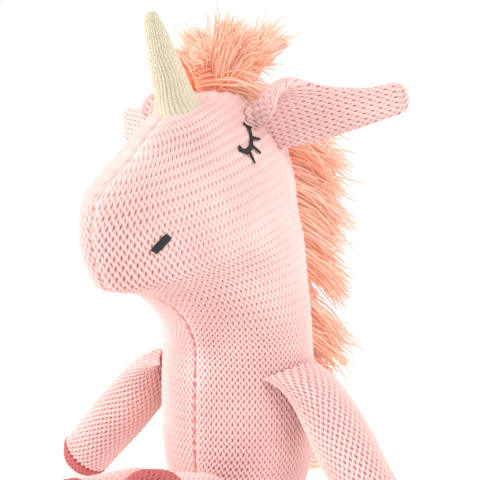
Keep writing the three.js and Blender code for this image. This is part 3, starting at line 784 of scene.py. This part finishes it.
def strands(clumps, per_clump, seed, width, sag, fray):
    """Yarn strands as tubes, with their tone and their place along the strand.
    A clump is (root, heading, bend, length); its strands start together, swell and fray at the ends."""
    rng = np.random.default_rng(seed)
    part = np.linspace(0, 1, STRAND_RINGS)[:, None]
    swell = 0.55 + 0.6 * part
    tubes, tones, alongs = [], [], []
    for root, heading, bend, length in clumps:
        heading = np.array(heading, float) / np.linalg.norm(heading)
        across = np.cross(heading, (0.2, 0.1, 1))
        across /= np.linalg.norm(across)
        other = np.cross(heading, across)
        ripple = rng.uniform(0, 6.28)
        clump_tone = rng.uniform(0.25, 0.75)
        for _ in range(per_clump):
            reach = length * rng.uniform(0.88, 1.03)
            a, b = rng.normal(0, width / 2, 2)
            middle = np.array(root) + heading * reach * part + np.array(bend) * part ** 2
            wave = 3.2 * np.sin(5.4 * part + ripple) * part
            crimp = rng.normal(0, 1.3) * np.sin(10 * part + rng.uniform(0, 6.28)) * part
            spread = (across * a + other * b) * swell + across * wave + other * crimp
            stray = rng.normal(0, fray, 3) * (2.5 if rng.random() < 0.1 else 1) * part ** 3
            points = middle + spread + stray - np.array([0, 0, sag]) * part ** 2
            points[:, 2] = np.maximum(points[:, 2], 1)
            radius = np.linspace(0.5, 0.36, STRAND_RINGS) * rng.uniform(0.8, 1.15)
            radius[-1] *= 0.5
            tubes.append(thread_tube(points, radius, STRAND_SIDES))
            tone = np.clip(clump_tone + rng.normal(0, 0.25), 0, 1)
            tones.append(np.full(STRAND_RINGS * STRAND_SIDES, tone))
            alongs.append(np.repeat(part[:, 0], STRAND_SIDES))
    return tubes, tones, alongs


def back_seam(height):
    heights = smooth_columns(STATIONS, np.linspace(0, 16, 240))
    return np.interp(height, heights[:, 3], heights[:, 2])


def hair_object(name, parts, body, node):
    tubes, tones, alongs = parts
    ob = tube_mesh(name, tubes, {"tone": tones, "along": alongs})
    return finish_piece(ob, CORAL, body, (node,))


def mane_clumps(index, height, length, droop):
    rng = np.random.default_rng(40 + index)
    tilt = math.tan(math.radians(droop))
    clumps = []
    for k in range(7):
        z = height + (k / 6 - 0.5) * 19
        sideways = (k * 5 % 7) / 6 * 2 - 1
        root = (rng.uniform(-2, 2), back_seam(z) - 2, z)
        heading = (sideways * 0.62 + rng.normal(0, 0.08), 1, 0.16 - tilt + rng.normal(0, 0.1))
        bend = (sideways * 3, -7, rng.normal(-9, 2.5))
        clumps.append((root, heading, bend, (length + 5) * rng.uniform(0.86, 1.04)))
    return clumps


for index, (height, length, droop) in enumerate(MANE):
    body = "head" if index < 6 else "torso"
    sag = 7 if index < 8 else 2
    parts = strands(mane_clumps(index, height, length, droop), 54, 90 + index, 7, sag, 2.2)
    hair_object(f"mane_yarn_{index + 1}", parts, body, f"mane_tuft_{index + 1}")


def forelock_clumps():
    rng = np.random.default_rng(71)
    clumps = []
    for k in range(26):
        place_along = k / 25
        sideways = (k * 11 % 26) / 25 * 2 - 1
        root = (sideways * 7, -26 + 30 * place_along, 227)
        lean = -0.28 + 0.6 * place_along + rng.normal(0, 0.12)
        heading = (sideways * 0.2, lean, 1.0)
        bend = (sideways * 8 + rng.normal(0, 5), 8 + rng.normal(0, 7), -11 + rng.normal(0, 4))
        clumps.append((root, heading, bend, 47 * rng.uniform(0.74, 1.08)))
    return clumps


hair_object("forelock_yarn", strands(forelock_clumps(), 56, 72, 5.5, 2, 1.7), "head", "forelock")


def tail_clumps():
    rng = np.random.default_rng(81)
    return [
        ((rng.uniform(-3, 3), 37.5, 24 + rng.uniform(-3, 3)),
         (rng.normal(0, 0.1), 1, -0.14 + rng.normal(0, 0.05)),
         (rng.normal(0, 3), 0, rng.normal(0, 2)), 58 * rng.uniform(0.9, 1.05))
        for _ in range(9)
    ]


hair_object("tail_yarn", strands(tail_clumps(), 26, 82, 4, 3, 1.6), "tail", "tail")

# ---------- CAD pieces that keep their shape ----------
for name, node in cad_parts.items():
    if "filling" in name:
        node.data.materials.clear()
        node.data.materials.append(FIBRE)
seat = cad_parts["seat_panel"]
seat.data.materials.clear()
seat.data.materials.append(SEAT_CLOTH)

# ---------- stage, light and camera ----------
def add_stage():
    bpy.ops.mesh.primitive_circle_add(vertices=96, radius=0.5, fill_type="NGON", location=(0, 0, -0.0005))
    floor = bpy.context.object
    floor.name = "floor"
    material, nodes, _ = new_material("pale_floor")
    nodes["Principled BSDF"].inputs["Base Color"].default_value = (0.96, 0.96, 0.96, 1)
    nodes["Principled BSDF"].inputs["Roughness"].default_value = 0.8
    nodes["Principled BSDF"].inputs["Emission Color"].default_value = (1, 1, 1, 1)
    nodes["Principled BSDF"].inputs["Emission Strength"].default_value = 0.2
    floor.data.materials.append(material)


def add_light(name, location, size, power, colour=(1, 1, 1)):
    data = bpy.data.lights.new(name, "AREA")
    data.shape = "DISK"
    data.size = size
    data.energy = power
    data.color = colour
    ob = bpy.data.objects.new(name, data)
    ob.location = location
    ob.rotation_euler = (Vector((0, 0, 0.13)) - Vector(location)).to_track_quat("-Z", "Y").to_euler()
    bpy.context.scene.collection.objects.link(ob)


def add_camera():
    azimuth, elevation = math.radians(CAMERA["azimuth"]), math.radians(CAMERA["elevation"])
    back = Vector((math.sin(azimuth) * math.cos(elevation), -math.cos(azimuth) * math.cos(elevation),
                   math.sin(elevation)))
    right = Vector((math.cos(azimuth), math.sin(azimuth), 0))
    aim = Vector((0, 0, CAMERA["aim_z"])) + right * CAMERA["aim_side"]
    data = bpy.data.cameras.new("camera")
    data.sensor_width = 36
    data.lens = 36 * CAMERA["focal_px"] / 480
    ob = bpy.data.objects.new("camera", data)
    ob.location = (aim + back * CAMERA["distance"]) * MM
    ob.rotation_euler = (-back).to_track_quat("-Z", "Y").to_euler()
    bpy.context.scene.collection.objects.link(ob)
    bpy.context.scene.camera = ob


add_stage()
add_light("key", (1.15, -0.5, 1.25), 0.9, 13)
add_light("fill", (-1.1, -0.9, 0.55), 1.4, 24)
add_light("side", (1.2, 0.8, 0.6), 1.0, 8)
world = bpy.data.worlds.new("studio")
world.use_nodes = True
world.node_tree.nodes["Background"].inputs["Color"].default_value = (1, 1, 1, 1)
world.node_tree.nodes["Background"].inputs["Strength"].default_value = 0.62
backdrop = world.node_tree.nodes.new("ShaderNodeBackground")
backdrop.inputs["Color"].default_value = (1, 1, 1, 1)
seen = world.node_tree.nodes.new("ShaderNodeLightPath")
choose = world.node_tree.nodes.new("ShaderNodeMixShader")
world.node_tree.links.new(seen.outputs["Is Camera Ray"], choose.inputs[0])
world.node_tree.links.new(world.node_tree.nodes["Background"].outputs[0], choose.inputs[1])
world.node_tree.links.new(backdrop.outputs[0], choose.inputs[2])
world.node_tree.links.new(choose.outputs[0], world.node_tree.nodes["World Output"].inputs[0])
bpy.context.scene.world = world
bpy.context.scene.view_settings.view_transform = "Standard"
add_camera()
